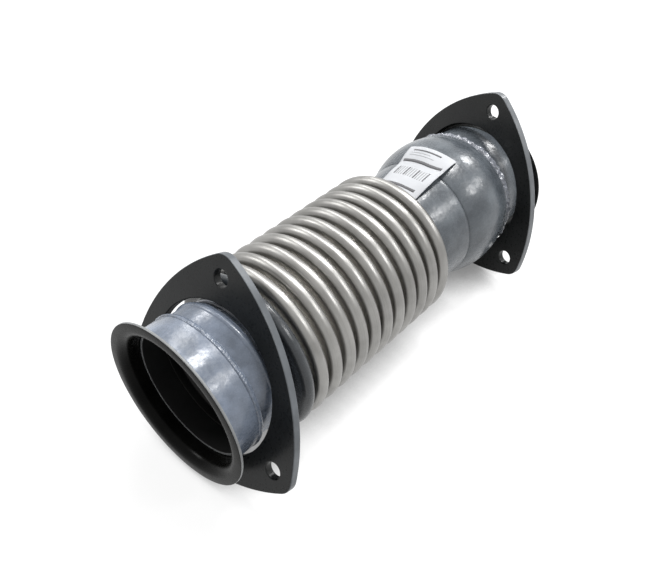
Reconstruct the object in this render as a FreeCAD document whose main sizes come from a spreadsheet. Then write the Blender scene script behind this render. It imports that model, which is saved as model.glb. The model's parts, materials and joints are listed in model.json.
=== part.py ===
"""Exhaust flex pipe: a steel bellows between a short flared collar and a domed far end, with a loose
three-bolt flange caught behind each flared lip. It lies as it rests on a floor, on the two flanges.

The pipe runs along X, from the near mouth to the far one, and Z is up. The origin is on the floor,
under the middle of the whole. The flanges reach unevenly to their sides, so the pipe's axis lies a
little to one side of it. Stations along the pipe are counted from the near mouth's face.
"""

import FreeCAD, Part
import math
import os
import re

import Sketcher

SIZES = {
    "pipe_length": 360.0,
    "sheet": 2.0,
    "lip_dia": 125.6,
    "flare_bend": 5.0,
    "fit_gap": 0.3,
    "near_collar_dia": 104.0,
    "near_collar_length": 26.3,
    "tube_setback": 14.0,
    "rib_width": 5.0,
    "rib_height": 1.3,
    "rib_land": 0.7,
    "neck_taper": 4.2,
    "neck_land": 0.5,
    "weld_leg": 4.2,
    "weld_crown": 0.7,
    "skirt_weld_leg": 2.4,
    "skirt_weld_crown": 0.3,
    "crest_dia": 123.0,
    "crest_width": 8.8,
    "crest_bevel": 2.6,
    "root_dia": 94.0,
    "ply": 1.0,
    "pitch": 14.0,
    "skirt": 3.5,
    "skirt_gap": 0.2,
    "liner_dia": 78.0,
    "liner_sheet": 1.0,
    "liner_station": 31.5,
    "liner_seat": 6.0,
    "liner_taper": 10.0,
    "liner_end_gap": 12.0,
    "cuff_length": 39.2,
    "seam_dia": 103.6,
    "seam_width": 1.2,
    "seam_groove": 0.45,
    "dome_length": 47.0,
    "dome_end_length": 9.5,
    "dome_swell": 4.7,
    "dome_bend": 80.0,
    "dome_curl": 11.0,
    "far_collar_dia": 99.0,
    "far_collar_insert": 8.0,
    "flange_thickness": 6.0,
    "flange_side_radius": 141.0,
    "flange_side_reach": 69.7,
    "flange_corner_radius": 9.5,
    "flange_hole_gap": 0.09,
    "flange_hole_edge": 0.8,
    "bolt_circle": 146.5,
    "bolt_hole_dia": 12.0,
    "bolt_holes": 3.0,
    "near_flange_lean": 20.0,
    "near_flange_turn": 6.0,
    "near_flange_drop": 1.2,
    "axis_side": 2.37,
    "near_lip_gap": 5.95,
    "near_crest_gap": 1.32,
    "far_flange_lean": 7.0,
    "far_flange_yaw": 11.0,
    "far_flange_turn": 5.0,
    "far_flange_shift": 4.0,
    "far_lip_gap": 0.35,
    "far_dome_gap": 2.2,
}

DERIVED = {
    "lip_radius": "lip_dia / 2",
    "near_collar_radius": "near_collar_dia / 2",
    "near_bore_radius": "near_collar_radius - sheet",
    "tube_radius": "near_bore_radius - fit_gap",
    "root_radius": "root_dia / 2",
    "neck_radius": "root_radius - ply - skirt_gap",
    "far_collar_radius": "far_collar_dia / 2",
    "dome_mouth_radius": "far_collar_radius + fit_gap",
    "near_lean_cos": "cos(near_flange_lean * 1deg)",
    "near_lean_sin": "sin(near_flange_lean * 1deg)",
    "far_lean_cos": "cos(far_flange_lean * 1deg) * cos(far_flange_yaw * 1deg)",
    "far_lean_sin": "sqrt(1 - far_lean_cos ^ 2)",
    "near_hole_need": "(near_collar_radius + max(tube_radius; root_radius + skirt_weld_crown)"
                      " + flange_thickness * near_lean_sin) / near_lean_cos",
    "far_shift_share": "sin(far_flange_yaw * 1deg) * cos(far_flange_lean * 1deg) / far_lean_sin",
    "far_hole_need": "(far_collar_dia + 2 * far_flange_shift * far_shift_share"
                     " + flange_thickness * far_lean_sin) / far_lean_cos",
    "flange_hole_dia": "max(near_hole_need; far_hole_need) + flange_hole_gap",
    "near_flange_station": "sheet + near_lip_gap"
                           " + (lip_radius * near_lean_sin + flange_thickness / 2) / near_lean_cos",
    "flank": "(pitch - crest_width) / 2",
    "bevel_mitre": "ply * tan(22.5 * 1deg)",
    "bellows_first": "near_flange_station + near_crest_gap - flank"
                     " + (crest_dia / 2 * near_lean_sin + flange_thickness / 2) / near_lean_cos",
    "bellows_station": "bellows_first - skirt",
    "neck_station": "bellows_station - skirt_weld_leg - neck_land",
    "rib_station": "neck_station - neck_taper - rib_land - rib_width / 2",
    "far_flange_station": "pipe_length - sheet - far_lip_gap"
                          " - (lip_radius * far_lean_sin + flange_thickness / 2) / far_lean_cos",
    "dome_end_station": "far_flange_station - far_dome_gap"
                        " - (flange_hole_dia / 2 * far_lean_sin + flange_thickness / 2) / far_lean_cos",
    "dome_shoulder_station": "dome_end_station - dome_end_length",
    "dome_shoulder_radius": "dome_mouth_radius + sheet + dome_swell",
    "seam_station": "dome_shoulder_station - dome_length",
    "convolutions": "round((seam_station - cuff_length - bellows_first) / pitch)",
    "bellows_last": "bellows_first + pitch * convolutions",
    "far_skirt_end": "bellows_last + skirt",
    "cuff_flare_station": "far_skirt_end + skirt_weld_leg + neck_land",
    "flange_arc_centre": "flange_side_radius - flange_side_reach",
    "near_flange_foot": "(flange_side_radius - flange_arc_centre * cos(near_flange_turn * 1deg))"
                        " * cos(near_flange_lean * 1deg)"
                        " + flange_thickness / 2 * sin(near_flange_lean * 1deg)",
    "far_flange_foot": "(flange_side_radius - flange_arc_centre * cos(far_flange_turn * 1deg))"
                       " * cos(far_flange_lean * 1deg)"
                       " + flange_thickness / 2 * sin(far_flange_lean * 1deg)",
    "axis_height": "near_flange_foot + near_flange_drop",
}

doc = FreeCAD.newDocument("exhaust_flex_pipe")
sheet = doc.addObject("Spreadsheet::Sheet", "Sizes")
pieces = []


def tied(text):
    """The expression with every size name pointed at the sheet."""
    names = re.compile(r"[a-z]+(?:_[a-z]+)*")
    known = {**SIZES, **DERIVED}
    return names.sub(lambda name: "Sizes." + name[0] if name[0] in known else name[0], text)


def fill_sheet():
    """Driving sizes as plain numbers in column B, then the sizes that follow from them."""
    row = 1
    for name, size in SIZES.items():
        sheet.set(f"A{row}", name)
        sheet.set(f"B{row}", str(size))
        sheet.setAlias(f"B{row}", name)
        row += 1
    doc.recompute()
    for name, text in DERIVED.items():
        sheet.set(f"A{row}", name)
        sheet.set(f"B{row}", "=" + tied(text).replace("Sizes.", ""))
        sheet.setAlias(f"B{row}", name)
        doc.recompute()
        row += 1


def value(text):
    """The number that an expression of size names gives."""
    return float(sheet.evalExpression(tied(text)))


def origin_part(body, role):
    """The body's own origin plane or axis with this role."""
    return next(part for part in body.Origin.OriginFeatures if part.Role == role)


def new_body(label, station, facing=1):
    """A body whose own X axis lies on the pipe's axis, from this station towards the far or near end."""
    body = doc.addObject("PartDesign::Body", label)
    body.Label = label
    body.setExpression("Placement.Base.x", tied(f"{station} - pipe_length / 2"))
    body.setExpression("Placement.Base.y", tied("axis_side"))
    body.setExpression("Placement.Base.z", tied("axis_height"))
    body.Placement.Rotation = FreeCAD.Rotation(FreeCAD.Vector(0, 0, 1), 0 if facing > 0 else 180)
    pieces.append(body)
    return body


def new_sketch(body, name, role):
    """A sketch on one of the body's origin planes."""
    sketch = body.newObject("Sketcher::SketchObject", name)
    sketch.AttachmentSupport = [(origin_part(body, role), "")]
    sketch.MapMode = "FlatFace"
    return sketch


def bind(sketch, constraint, text):
    """Adds a dimension to the sketch and ties it to the sheet."""
    index = sketch.addConstraint(constraint)
    sketch.setExpression(f"Constraints[{index}]", tied(text))


def arc_between(start, end, radius, side):
    """The short arc from start to end, its centre left (side 1) or right (side -1) of the way."""
    chord = end - start
    middle = start + chord * 0.5
    rise = math.sqrt(radius ** 2 - (chord.Length / 2) ** 2)
    left = FreeCAD.Vector(-chord.y, chord.x, 0).normalize()
    centre = middle + left * (rise * side)
    first, last = (start, end) if side > 0 else (end, start)
    from_angle = math.atan2(first.y - centre.y, first.x - centre.x)
    to_angle = math.atan2(last.y - centre.y, last.x - centre.x)
    circle = Part.Circle(centre, FreeCAD.Vector(0, 0, 1), radius)
    return Part.ArcOfCircle(circle, from_angle, to_angle)


def draw_outline(sketch, stations):
    """Draws a closed outline and ties every corner and radius to the sheet.

    Each station is (along, out), or (along, out, radius, side) where an arc of that radius leads on to
    the next station. Side 1 puts the arc's centre on the left of the way, -1 on the right.
    """
    corners = [FreeCAD.Vector(value(item[0]), value(item[1]), 0) for item in stations]
    starts = []
    ends = []
    for number, item in enumerate(stations):
        start = corners[number]
        end = corners[(number + 1) % len(corners)]
        if len(item) == 2:
            edge = sketch.addGeometry(Part.LineSegment(start, end), False)
            starts.append((edge, 1))
            ends.append((edge, 2))
        else:
            edge = sketch.addGeometry(arc_between(start, end, value(item[2]), item[3]), False)
            starts.append((edge, 1 if item[3] > 0 else 2))
            ends.append((edge, 2 if item[3] > 0 else 1))
    for number, item in enumerate(stations):
        sketch.addConstraint(Sketcher.Constraint("Coincident", *ends[number - 1], *starts[number]))
    for number, item in enumerate(stations):
        bind(sketch, Sketcher.Constraint("DistanceX", -1, 1, *starts[number], corners[number].x), item[0])
        bind(sketch, Sketcher.Constraint("DistanceY", -1, 1, *starts[number], corners[number].y), item[1])
        if len(item) > 2:
            bind(sketch, Sketcher.Constraint("Radius", starts[number][0], value(item[2])), item[2])


def turned(body, name, stations):
    """A ring turned about the body's X axis from its half outline."""
    sketch = new_sketch(body, name + "_outline", "XZ_Plane")
    draw_outline(sketch, stations)
    ring = body.newObject("PartDesign::Revolution", name)
    ring.Profile = sketch
    ring.ReferenceAxis = (sketch, ["H_Axis"])
    ring.Angle = 360
    return ring


def flared_collar(label, station, facing, outside, length):
    """Tube end whose sheet turns out through a quarter bend into a flat sealing lip."""
    body = new_body(label, station, facing)
    bore = f"{outside} - sheet"
    outer_bend = "flare_bend"
    inner_bend = "flare_bend + sheet"
    turned(body, label + "_turned", [
        (length, bore),
        (inner_bend, bore, inner_bend, -1),
        ("0", f"{bore} + {inner_bend}"),
        ("0", "lip_radius"),
        ("sheet", "lip_radius"),
        ("sheet", f"{outside} + {outer_bend}", outer_bend, 1),
        (inner_bend, outside),
        (length, outside),
    ])


def weld_bead(label, station, foot, height, leg, facing=1):
    """Fillet weld: one leg along the tube, the other up the edge that ends at the station."""
    body = new_body(label, station, facing)
    turned(body, label + "_turned", [
        ("0", foot),
        ("0", f"{foot} + {height}", f"{leg} + {height}", -1),
        (leg, foot),
    ])


def near_tube():
    """Tube sleeved into the near collar, with a rolled rib, necked down to carry the bellows."""
    label = "near_tube"
    body = new_body(label, "tube_setback")
    rib = "rib_station - tube_setback"
    neck = "neck_station - tube_setback"
    finish = "bellows_first - tube_setback"
    rib_bend = "(rib_width ^ 2 / 4 + rib_height ^ 2) / (2 * rib_height)"
    turned(body, label + "_turned", [
        ("0", "tube_radius - sheet"),
        ("0", "tube_radius"),
        (f"{rib} - rib_width / 2", "tube_radius", rib_bend, -1),
        (f"{rib} + rib_width / 2", "tube_radius"),
        (f"{neck} - neck_taper", "tube_radius"),
        (neck, "neck_radius"),
        (finish, "neck_radius"),
        (finish, "neck_radius - sheet"),
        (neck, "neck_radius - sheet"),
        (f"{neck} - neck_taper", "tube_radius - sheet"),
    ])


def bellows():
    """Convolutions of one even wall, bevelled at the crest, and a plain skirt at each end."""
    label = "bellows"
    body = new_body(label, "bellows_first")
    inside = "root_radius - ply"
    crest = "crest_dia / 2"
    convolution = turned(body, "convolution", [
        ("0", "root_radius"),
        ("flank", "root_radius"),
        ("flank", f"{crest} - crest_bevel"),
        ("flank + crest_bevel", crest),
        ("pitch - flank - crest_bevel", crest),
        ("pitch - flank", f"{crest} - crest_bevel"),
        ("pitch - flank", "root_radius"),
        ("pitch", "root_radius"),
        ("pitch", inside),
        ("pitch - flank - ply", inside),
        ("pitch - flank - ply", f"{crest} - crest_bevel - bevel_mitre"),
        ("pitch - flank - crest_bevel - bevel_mitre", f"{crest} - ply"),
        ("flank + crest_bevel + bevel_mitre", f"{crest} - ply"),
        ("flank + ply", f"{crest} - crest_bevel - bevel_mitre"),
        ("flank + ply", inside),
        ("0", inside),
    ])
    row = body.newObject("PartDesign::LinearPattern", "convolution_row")
    row.Originals = [convolution]
    row.Direction = (origin_part(body, "X_Axis"), [""])
    row.setExpression("Length", tied("pitch * (convolutions - 1)"))
    row.setExpression("Occurrences", tied("convolutions"))
    body.Tip = row
    doc.recompute()
    for name, first, last in (
        ("near_skirt", "-skirt", "0"),
        ("far_skirt", "pitch * convolutions", "pitch * convolutions + skirt"),
    ):
        turned(body, name, [(first, inside), (last, inside), (last, "root_radius"), (first, "root_radius")])
        doc.recompute()


def flow_liner():
    """Thin inner tube that keeps the gas off the convolutions, belled out to seat in the near tube."""
    label = "flow_liner"
    body = new_body(label, "liner_station")
    seat = "tube_radius - sheet"
    slim = "liner_dia / 2"
    finish = "bellows_last - liner_end_gap - liner_station"
    turned(body, label + "_turned", [
        ("0", f"{seat} - liner_sheet"),
        ("0", seat),
        ("liner_seat", seat),
        ("liner_seat + liner_taper", slim),
        (finish, slim),
        (finish, f"{slim} - liner_sheet"),
        ("liner_seat + liner_taper", f"{slim} - liner_sheet"),
        ("liner_seat", f"{seat} - liner_sheet"),
    ])


def far_cuff():
    """Neck under the bellows' far skirt that opens out as a cone to the seam."""
    label = "far_cuff"
    body = new_body(label, "bellows_last")
    finish = "seam_station - bellows_last"
    turned(body, label + "_turned", [
        ("0", "neck_radius - sheet"),
        ("0", "neck_radius"),
        ("cuff_flare_station - bellows_last", "neck_radius"),
        (finish, "seam_dia / 2"),
        (finish, "seam_dia / 2 - sheet"),
        ("cuff_flare_station - bellows_last", "neck_radius - sheet"),
    ])


def seam_weld():
    """Butt weld between the cuff and the dome, a little below their faces."""
    label = "seam_weld"
    body = new_body(label, "seam_station")
    turned(body, label + "_turned", [
        ("0", "seam_dia / 2 - sheet"),
        ("0", "seam_dia / 2 - seam_groove"),
        ("seam_width", "seam_dia / 2 - seam_groove"),
        ("seam_width", "seam_dia / 2 - sheet"),
    ])


def far_dome():
    """Domed shell that swells past the seam and curls in to the far collar."""
    label = "far_dome"
    body = new_body(label, "seam_station + seam_width")
    start = "seam_station + seam_width"
    shoulder = f"dome_shoulder_station - ({start})"
    finish = f"dome_end_station - ({start})"
    turned(body, label + "_turned", [
        ("0", "seam_dia / 2 - sheet"),
        ("0", "seam_dia / 2", "dome_bend", -1),
        (shoulder, "dome_shoulder_radius", "dome_curl", -1),
        (finish, "dome_mouth_radius + sheet"),
        (finish, "dome_mouth_radius", "dome_curl - sheet", 1),
        (f"{shoulder} - sheet / 2", "dome_shoulder_radius - sheet", "dome_bend - sheet", 1),
    ])


def flange(label):
    """Loose plate with three bowed sides, rounded corners, a wide hole and a bolt hole per corner."""
    body = doc.addObject("PartDesign::Body", label)
    body.Label = label
    pieces.append(body)
    outline = new_sketch(body, label + "_outline", "YZ_Plane")
    centre_out = value("flange_arc_centre")
    radius = value("flange_side_radius")
    corner_out = (math.sqrt(4 * radius ** 2 - 3 * centre_out ** 2) - centre_out) / 2
    corners = []
    for number in range(3):
        angle = math.radians(90 + 120 * number)
        corners.append(FreeCAD.Vector(corner_out * math.cos(angle), corner_out * math.sin(angle), 0))
    for number in range(3):
        side = arc_between(corners[number], corners[(number + 1) % 3], radius, 1)
        outline.addGeometry(side, False)
    for number in range(3):
        outline.addConstraint(Sketcher.Constraint("Coincident", number, 2, (number + 1) % 3, 1))
        bind(outline, Sketcher.Constraint("Radius", number, radius), "flange_side_radius")
        away = 330 + 120 * number
        across = Sketcher.Constraint("DistanceX", -1, 1, number, 3, centre_out * math.cos(math.radians(away)))
        up = Sketcher.Constraint("DistanceY", -1, 1, number, 3, centre_out * math.sin(math.radians(away)))
        bind(outline, across, f"flange_arc_centre * cos({away} * 1deg)")
        bind(outline, up, f"flange_arc_centre * sin({away} * 1deg)")
    hole = outline.addGeometry(
        Part.Circle(FreeCAD.Vector(0, 0, 0), FreeCAD.Vector(0, 0, 1), value("flange_hole_dia / 2")), False)
    outline.addConstraint(Sketcher.Constraint("Coincident", hole, 3, -1, 1))
    bind(outline, Sketcher.Constraint("Radius", hole, value("flange_hole_dia / 2")), "flange_hole_dia / 2")
    plate = body.newObject("PartDesign::Pad", label + "_plate")
    plate.Profile = outline
    plate.setExpression("Length", tied("flange_thickness"))
    plate.SideType = "Symmetric"
    doc.recompute()
    corner_edges = []
    for number, edge in enumerate(plate.Shape.Edges, 1):
        ends = [vertex.Point for vertex in edge.Vertexes]
        if len(ends) == 2 and abs(ends[0].x - ends[1].x) > value("flange_thickness") / 2:
            if math.hypot(ends[0].y, ends[0].z) > value("flange_hole_dia / 2") + 1:
                corner_edges.append(f"Edge{number}")
    rounded = body.newObject("PartDesign::Fillet", label + "_corners")
    rounded.Base = (plate, corner_edges)
    rounded.setExpression("Radius", tied("flange_corner_radius"))
    doc.recompute()
    hole_edges = []
    for number, edge in enumerate(rounded.Shape.Edges, 1):
        curve = edge.Curve
        if isinstance(curve, Part.Circle) and abs(curve.Radius - value("flange_hole_dia / 2")) < 0.01:
            if curve.Center.y ** 2 + curve.Center.z ** 2 < 0.01 and abs(curve.Axis.x) > 0.9:
                hole_edges.append(f"Edge{number}")
    eased = body.newObject("PartDesign::Chamfer", label + "_hole_edge")
    eased.Base = (rounded, hole_edges)
    eased.setExpression("Size", tied("flange_hole_edge"))
    doc.recompute()
    bolt_sketch = new_sketch(body, label + "_bolt_outline", "YZ_Plane")
    bolt_centre = FreeCAD.Vector(0, value("bolt_circle / 2"), 0)
    bolt = bolt_sketch.addGeometry(
        Part.Circle(bolt_centre, FreeCAD.Vector(0, 0, 1), value("bolt_hole_dia / 2")), False)
    bolt_sketch.addConstraint(Sketcher.Constraint("PointOnObject", bolt, 3, -2))
    bind(bolt_sketch, Sketcher.Constraint("DistanceY", -1, 1, bolt, 3, bolt_centre.y), "bolt_circle / 2")
    bind(bolt_sketch, Sketcher.Constraint("Radius", bolt, value("bolt_hole_dia / 2")), "bolt_hole_dia / 2")
    drilled = body.newObject("PartDesign::Pocket", label + "_bolt_hole")
    drilled.Profile = bolt_sketch
    drilled.SideType = "Symmetric"
    drilled.setExpression("Length", tied("flange_thickness * 2"))
    doc.recompute()
    ring = body.newObject("PartDesign::PolarPattern", label + "_bolt_holes")
    ring.Originals = [drilled]
    ring.Axis = (origin_part(body, "X_Axis"), [""])
    ring.Angle = 360
    ring.setExpression("Occurrences", tied("bolt_holes"))
    body.Tip = ring
    doc.recompute()
    before = eased.Shape.Volume
    cut = before - ring.Shape.Volume
    plug = math.pi * value("bolt_hole_dia / 2") ** 2 * value("flange_thickness")
    assert abs(cut - plug * value("bolt_holes")) < 0.01 * before, "the bolt holes must go right through"
    return body


def seat_flange(body, station, lean, yaw, turn, height, shift="0"):
    """Leans the flange towards the far end, yaws it about the upright and turns it in its own plane.

    Its plane crosses the pipe's axis at the station, and its middle is shifted sideways in that plane.
    """
    along = f"{station} - pipe_length / 2 + {shift} * tan({yaw} * 1deg)"
    seat = f"create(<<vector>>; {along}; axis_side - {shift}; {height})"
    pose = f"create(<<rotation>>; {yaw}; {lean}; {turn})"
    body.setExpression("Placement", tied(f"create(<<placement>>; {seat}; {pose})"))


def check_model():
    """Stops at anything that failed to compute or that is not one sound solid."""
    for item in doc.Objects:
        for fault in ("Invalid", "Error"):
            assert fault not in item.State, f"{item.Name} is {item.State}"
    for body in pieces:
        shape = body.Shape
        assert not shape.isNull() and shape.isValid(), f"{body.Label} has no valid shape"
        assert len(shape.Solids) == 1, f"{body.Label} has {len(shape.Solids)} solids"


def main():
    fill_sheet()
    flared_collar("near_collar", "0", 1, "near_collar_radius", "near_collar_length")
    weld_bead("near_weld", "near_collar_length", "tube_radius",
              "near_collar_radius - tube_radius + weld_crown", "weld_leg")
    near_tube()
    skirt_step = "root_radius - neck_radius + skirt_weld_crown"
    weld_bead("near_skirt_weld", "bellows_station", "neck_radius", skirt_step, "skirt_weld_leg", -1)
    bellows()
    flow_liner()
    weld_bead("far_skirt_weld", "far_skirt_end", "neck_radius", skirt_step, "skirt_weld_leg")
    far_cuff()
    seam_weld()
    far_dome()
    weld_bead("far_weld", "dome_end_station", "far_collar_radius",
              "dome_mouth_radius + sheet - far_collar_radius + weld_crown", "weld_leg")
    insert = "pipe_length - dome_end_station + far_collar_insert"
    flared_collar("far_collar", "pipe_length", -1, "far_collar_radius", insert)
    seat_flange(flange("near_flange"), "near_flange_station", "near_flange_lean", "0",
                "-near_flange_turn", "near_flange_foot")
    seat_flange(flange("far_flange"), "far_flange_station", "far_flange_lean", "-far_flange_yaw",
                "far_flange_turn", "far_flange_foot", "far_flange_shift")
    doc.recompute()
    check_model()
    os.makedirs("parts", exist_ok=True)
    for body in pieces:
        body.Shape.exportStep(f"parts/{body.Label}.step")
        print(body.Label, round(body.Shape.Volume), "cubic mm")


main()
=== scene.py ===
"""The look of an exhaust flex pipe: turned steel shells, a bellows, two loose flanges and a paper label.

Lengths in the classes are millimetres, with stations along the pipe counted from the near mouth's
face. Meshes are made in metres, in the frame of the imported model.
"""

import functools
import json
import logging
import math
from dataclasses import dataclass, field
from enum import Enum
from typing import Callable, Optional, Sequence

import bmesh
import bpy
from mathutils import Matrix, Vector, noise


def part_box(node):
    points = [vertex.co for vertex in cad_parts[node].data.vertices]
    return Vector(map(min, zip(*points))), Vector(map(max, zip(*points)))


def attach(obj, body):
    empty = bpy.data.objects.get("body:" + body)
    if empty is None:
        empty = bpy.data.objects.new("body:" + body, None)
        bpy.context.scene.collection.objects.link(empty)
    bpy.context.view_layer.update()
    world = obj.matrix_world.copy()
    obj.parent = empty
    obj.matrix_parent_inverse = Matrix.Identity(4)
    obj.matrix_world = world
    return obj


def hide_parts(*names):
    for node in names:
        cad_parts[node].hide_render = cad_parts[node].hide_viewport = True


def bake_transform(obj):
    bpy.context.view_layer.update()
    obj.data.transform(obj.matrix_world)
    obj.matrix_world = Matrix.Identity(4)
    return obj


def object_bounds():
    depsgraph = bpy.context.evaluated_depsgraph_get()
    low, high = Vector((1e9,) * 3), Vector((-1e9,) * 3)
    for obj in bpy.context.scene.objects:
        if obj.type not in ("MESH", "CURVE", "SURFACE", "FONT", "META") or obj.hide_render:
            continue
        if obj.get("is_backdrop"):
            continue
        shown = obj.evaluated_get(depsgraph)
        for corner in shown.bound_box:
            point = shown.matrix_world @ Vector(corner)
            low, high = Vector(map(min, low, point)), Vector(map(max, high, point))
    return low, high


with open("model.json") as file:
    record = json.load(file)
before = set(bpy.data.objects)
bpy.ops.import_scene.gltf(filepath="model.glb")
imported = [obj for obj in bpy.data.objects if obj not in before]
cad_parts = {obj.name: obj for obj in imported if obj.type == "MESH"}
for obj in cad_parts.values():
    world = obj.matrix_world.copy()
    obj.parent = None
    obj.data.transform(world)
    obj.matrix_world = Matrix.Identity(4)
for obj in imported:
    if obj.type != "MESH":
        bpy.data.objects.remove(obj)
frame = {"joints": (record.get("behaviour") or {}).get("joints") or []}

log = logging.getLogger("exhaust_flex_pipe")

MM = 0.001
WHITE = (1.0, 1.0, 1.0, 1.0)
FULL_TURN = 2 * math.pi

# Numbers of a turned piece's first two finishes.
OUTER = 0
INNER = 1

Colour = tuple[float, float, float]
Ripple = Callable[[float, float, float], tuple[float, float]]
Socket = bpy.types.NodeSocket


class Slot(Enum):
    """Material slots of the record."""

    PIPE = "pipe_paint"
    FLANGE = "flange_paint"
    BELLOWS = "bellows_steel"
    LINER = "liner_steel"
    WELD = "weld_bead"


class Body(Enum):
    """Bodies that the pieces ride on."""

    NEAR = "near_end"
    FAR = "far_end"
    NEAR_FLANGE = "near_flange"
    FAR_FLANGE = "far_flange"


def spoke(angle: float) -> Vector:
    """The flat direction at an angle in radians."""
    return Vector((math.cos(angle), math.sin(angle)))


def drift(across: float, along: float, deep: float = 0.0) -> float:
    """Smooth noise from about -1 to 1 at a place."""
    return noise.noise(Vector((across, along, deep)))


def stood(place: Sequence[float], right: Vector, up: Vector, back: Vector) -> Matrix:
    """The placement of something at a place with these three directions."""
    return Matrix.Translation(place) @ Matrix((right, up, back)).transposed().to_4x4()


def placed(name: str, data: bpy.types.ID) -> bpy.types.Object:
    """Puts something new in the scene.

    Args:
        name: Its name.
        data: Its mesh, curve, lamp or camera.

    Returns:
        Its object.
    """
    thing = bpy.data.objects.new(name, data)
    bpy.context.scene.collection.objects.link(thing)
    return thing


def formed(name: str, shape: bmesh.types.BMesh, finishes: Sequence[bpy.types.Material]) -> bpy.types.Object:
    """Makes a piece from a finished shape and lets go of the shape.

    Args:
        name: The piece's name.
        shape: Its faces.
        finishes: Its materials.

    Returns:
        The piece.
    """
    mesh = bpy.data.meshes.new(name)
    shape.to_mesh(mesh)
    shape.free()
    for finish in finishes:
        mesh.materials.append(finish)
    return placed(name, mesh)


class Graph:
    """A short way to lay out the nodes of a material or of the world.

    Attributes:
        owner: The material or world.
        tree: Its nodes and links.
        output: Its output node.
    """

    def __init__(self, owner: bpy.types.ID, output: str = "OutputMaterial") -> None:
        """Clears the nodes and adds the output.

        Args:
            owner: The material or world.
            output: Kind of its output node.
        """
        owner.use_nodes = True
        self.owner = owner
        self.tree = owner.node_tree
        self.tree.nodes.clear()
        self.output = self.add(output)

    def add(self, kind: str, **settings: object) -> bpy.types.Node:
        """Adds a node.

        Args:
            kind: Blender's name of the node type, without its first word.
            settings: Attributes of the node, or its inputs with spaces as underscores.

        Returns:
            The new node.
        """
        node = self.tree.nodes.new("ShaderNode" + kind)
        for name, value in settings.items():
            if hasattr(node, name):
                setattr(node, name, value)
            else:
                self.feed(node.inputs[name.replace("_", " ")], value)
        return node

    def feed(self, entry: Socket, value: object) -> None:
        """Sets an input.

        Args:
            entry: The input.
            value: A plain value, or the output to join it to.
        """
        if isinstance(value, Socket):
            self.tree.links.new(value, entry)
        else:
            entry.default_value = value

    def show(self, shader: bpy.types.Node) -> None:
        """Joins a shader to the output."""
        self.feed(self.output.inputs["Surface"], shader.outputs[0])

    def place(self) -> Socket:
        """Gives the position on the piece, in metres."""
        return self.add("TexCoord").outputs["Object"]

    def unrolled(self, layer: str) -> Socket:
        """Gives the flat position that a turned piece keeps in a layer."""
        return self.add("UVMap", uv_map=layer).outputs["UV"]

    def clouds(self, where: Socket, scale: float, detail: float, rough: float) -> Socket:
        """Gives soft noise from 0 to 1.

        Args:
            where: The position.
            scale: Cells per metre.
            detail: Octaves of noise.
            rough: Weight of the finer octaves.

        Returns:
            The noise value.
        """
        texture = self.add("TexNoise", Vector=where, Scale=scale, Detail=detail, Roughness=rough)
        return texture.outputs["Fac"]

    def spread(self, value: Socket, low: float, high: float, at_low: float = 0.0,
               at_high: float = 1.0) -> Socket:
        """Maps a value from one range to another and keeps it in the second.

        Args:
            value: The value.
            low: Where the first range starts.
            high: Where it ends.
            at_low: Result at low.
            at_high: Result at high.

        Returns:
            The mapped value.
        """
        ranger = self.add("MapRange", Value=value, From_Min=low, From_Max=high, To_Min=at_low, To_Max=at_high)
        return ranger.outputs["Result"]

    def combined(self, operation: str, first: Socket, second: Socket) -> Socket:
        """Combines two values.

        Args:
            operation: Blender's name of the operation.
            first: One value.
            second: The other.

        Returns:
            The result.
        """
        node = self.add("Math", operation=operation)
        self.feed(node.inputs[0], first)
        self.feed(node.inputs[1], second)
        return node.outputs[0]

    def blended(self, share: Socket, first: object, second: object) -> Socket:
        """Blends two colours.

        Args:
            share: Share of the second colour.
            first: A colour, or the output that gives one.
            second: The same for the second.

        Returns:
            The blended colour.
        """
        mix = self.add("Mix", data_type="RGBA", Factor=share)
        entries = [entry for entry in mix.inputs if entry.type == "RGBA"]
        for entry, colour in zip(entries, (first, second)):
            self.feed(entry, (*colour, 1.0) if isinstance(colour, tuple) else colour)
        return next(result for result in mix.outputs if result.type == "RGBA")

    def bump(self, height: Socket, depth: float, below: Optional[Socket] = None) -> Socket:
        """Turns a height into a bumped normal.

        Args:
            height: Height from 0 to 1.
            depth: Millimetres that 1 stands for.
            below: A normal that the bump is laid on.

        Returns:
            The bumped normal.
        """
        node = self.add("Bump", Strength=1.0, Distance=depth * MM, Height=height)
        if below is not None:
            self.feed(node.inputs["Normal"], below)
        return node.outputs["Normal"]

    def seen(self) -> Socket:
        """Tells the rays that see, mirror or look through to a surface from those that it lights.

        Returns:
            1 for the first and 0 for the others.
        """
        rays = self.add("LightPath").outputs
        mirrored = self.combined("MAXIMUM", rays["Is Camera Ray"], rays["Is Glossy Ray"])
        return self.combined("MAXIMUM", mirrored, rays["Is Transmission Ray"])


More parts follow.
